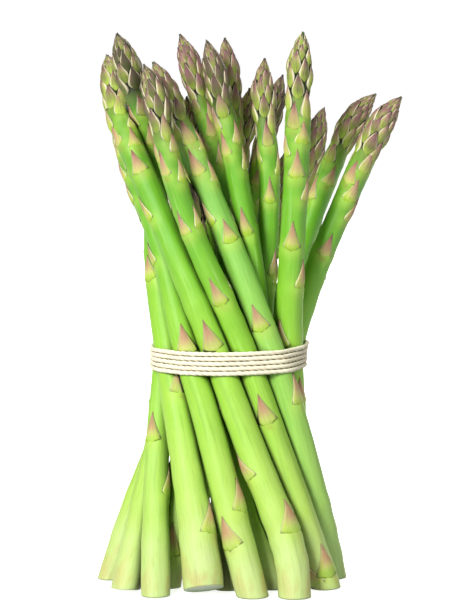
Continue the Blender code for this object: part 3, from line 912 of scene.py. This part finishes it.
# %% Knot and tails
# From the knot's middle in millimetres: (sideways, up, out to the back)
BIGHT = (
    (-4.2, -1.0, 0.8), (-2.3, -1.2, 0.8), (0.0, -1.9, -0.7), (2.2, -2.4, 0.2), (3.8, -1.5, 0.8),
    (4.3, 0.0, 0.9), (3.8, 1.5, 0.8), (2.2, 2.4, 0.2), (0.0, 1.9, -0.7), (-2.3, 1.2, 0.8),
    (-4.2, 1.0, 0.9),
)
TAIL = ((-6.3, 0.4, 1.0), (-8.0, -2.4, 1.1), (-8.9, -7.0, 0.6))
TAIL_END = (-9.6, 0.2)     # sideways and out; how far down it hangs is each tail's own
LONG_DROP, SHORT_DROP = 14.5, 10.5
KNOT_STEPS = 6             # steps of the winding that the knot takes up on each side
TWINE_STEP = 0.75 * MM


def knot_side(side, drop):
    """One end of the twine: its bight in the knot and its tail, as world places."""
    low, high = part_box("twine_knot")
    middle = 0.5 * (np.array(low) + np.array(high))
    tail = (*TAIL, (TAIL_END[0], -drop, TAIL_END[1]))
    shape = [(x * side, out * side, up * side) for x, up, out in BIGHT]
    shape += [(x * side, out, up) for x, up, out in tail]
    return np.array([middle + MM * np.array(place) for place in shape])


# %% The whole line of the twine
def rounded(points, step, rounds=2):
    """A line through the points with its corners rounded off, cut at even steps."""
    for _ in range(rounds):
        between = 0.5 * (points[:-1] + points[1:])
        inner = 0.125 * points[:-2] + 0.75 * points[1:-1] + 0.125 * points[2:]
        fuller = [points[0]]
        for k in range(len(points) - 1):
            fuller.append(between[k])
            fuller.append(inner[k] if k < len(inner) else points[-1])
        points = np.array(fuller)
    travel = np.concatenate(([0.0], np.cumsum(np.linalg.norm(np.diff(points, axis=0), axis=1))))
    at = np.linspace(0.0, travel[-1], int(travel[-1] / step) + 1)
    return np.stack([np.interp(at, travel, points[:, k]) for k in range(3)], 1)


first, last = knot_side(1.0, LONG_DROP), knot_side(-1.0, SHORT_DROP)
whole = np.concatenate((first[::-1], route[KNOT_STEPS:-KNOT_STEPS], last))
centre = rounded(whole, TWINE_STEP)
print(f"twine with knot and tails: {len(centre) * TWINE_STEP / MM:.0f} mm")

# %% [markdown]
# ### Laying the plies
# Each ply is a thin tube that winds round the middle line of the twine, a third of a turn from its
# neighbours. A bump could hint at the lay, but its edge would stay a smooth tube's, so the plies are
# real. A tube is a long grid whose points are moved onto rings, one row for each ring; the seam is
# welded and the ends are filled. The attribute `lay` runs round and along each ply, so that the
# fibres in the cotton's pattern follow it.

# %% Plies
PLIES, PLY_SIDES = 3, 8
PLY_RADIUS = 0.62 * MM
LAY_RADIUS = 0.31 * MM     # from the twine's middle to a ply's middle
LAY_LENGTH = 8.0 * MM      # along the twine, in which a ply goes once round
PLY_WELD = 0.0005 * MM
PLY_SEED = 7


def carried_frames(points):
    """A direction across the line at each point, carried along without twisting."""
    along = np.gradient(points, axis=0)
    along /= np.linalg.norm(along, axis=1)[:, None]
    across = [np.cross(along[0], (0.3, 0.5, 0.8))]
    for way in along[1:]:
        turned = across[-1] - way * (across[-1] @ way)
        across.append(turned / np.linalg.norm(turned))
    across = np.array(across)
    across[0] /= np.linalg.norm(across[0])
    return along, across, np.cross(along, across)


def lay_plies(points):
    """The whole twine: three plies laid round the line, a little uneven in thickness."""
    along, across, up = carried_frames(points)
    bm = bmesh.new()
    lay = bm.verts.layers.float_vector.new("lay")
    rng = random.Random(PLY_SEED)
    for ply in range(PLIES):
        wobble = [rng.uniform(0, 2 * math.pi) for _ in range(2)]
        made = bmesh.ops.create_grid(bm, x_segments=PLY_SIDES, y_segments=len(points) - 1, size=1.0)
        for vert in made["verts"]:
            k = round((vert.co.y + 1) / 2 * (len(points) - 1))
            travel = k * TWINE_STEP
            turn = math.pi * vert.co.x
            lie = 2 * math.pi * (travel / LAY_LENGTH + ply / PLIES)
            thick = 1 + 0.07 * math.sin(travel / (2.3 * MM) + wobble[0])
            thick += 0.05 * math.sin(travel / (5.1 * MM) + wobble[1])
            inner = LAY_RADIUS * (math.cos(lie) * across[k] + math.sin(lie) * up[k])
            outer = PLY_RADIUS * thick * (math.cos(turn) * across[k] + math.sin(turn) * up[k])
            vert.co = points[k] + inner + outer
            vert[lay] = (math.cos(turn - lie), math.sin(turn - lie), travel / (10 * MM))
    bmesh.ops.remove_doubles(bm, verts=bm.verts, dist=PLY_WELD)
    bmesh.ops.holes_fill(bm, edges=[e for e in bm.edges if e.is_boundary], sides=PLY_SIDES)
    bmesh.ops.recalc_face_normals(bm, faces=bm.faces)
    return settle(bm, "twine_laid", [COTTON])


# %% Cotton
COTTON_STRAW, COTTON_CREAM, COTTON_WHITE = srgb(222, 204, 160), srgb(246, 240, 208), srgb(254, 252, 232)
# The second colour is painted shade, for the creases between the plies
COTTON_PINK, COTTON_CREASE_SHADE = srgb(220, 184, 150), srgb(168, 116, 84)


def cotton():
    material, wire, shader = new_material("cotton", Roughness=0.9, Specular_IOR_Level=0.15)
    lay = wire.attribute("lay", 1)
    fibres = lay.stretched(2.2, 2.2, 1.6).noise(3.4, 3.0, 0.65)
    patches = lay.stretched(0.3, 0.3, 1.0).noise(1.7, 2.0)
    colour = fibres.ramp((0.25, COTTON_STRAW), (0.42, COTTON_CREAM), (0.75, COTTON_WHITE))
    colour = colour.mixed(COTTON_PINK, patches.within(0.58, 0.74) * 0.40)
    # Painted shade in the creases between the plies, from Ambient Occlusion
    colour = colour.mixed(COTTON_CREASE_SHADE, wire.hollow(1.2 * MM).within(0.35, 0.95) * 0.8)
    feed(shader, Base_Color=colour, Normal=bumped(fibres, 0.12 * MM, 0.8))
    return material


COTTON = cotton()
twine = lay_plies(centre)
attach(twine, "root")
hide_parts("twine", "twine_knot", "twine_end_1", "twine_end_2")
print("twine:", len(twine.data.polygons), "faces")

# %% [markdown]
# ## The finished size
# The boxes of the solid bundle and of the finished one are measured and printed side by side.

# %% Finish
finished_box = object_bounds()
for label, box in (("solid", cad_box), ("finished", finished_box)):
    print(label, [tuple(round(x / MM, 1) for x in corner) for corner in box])
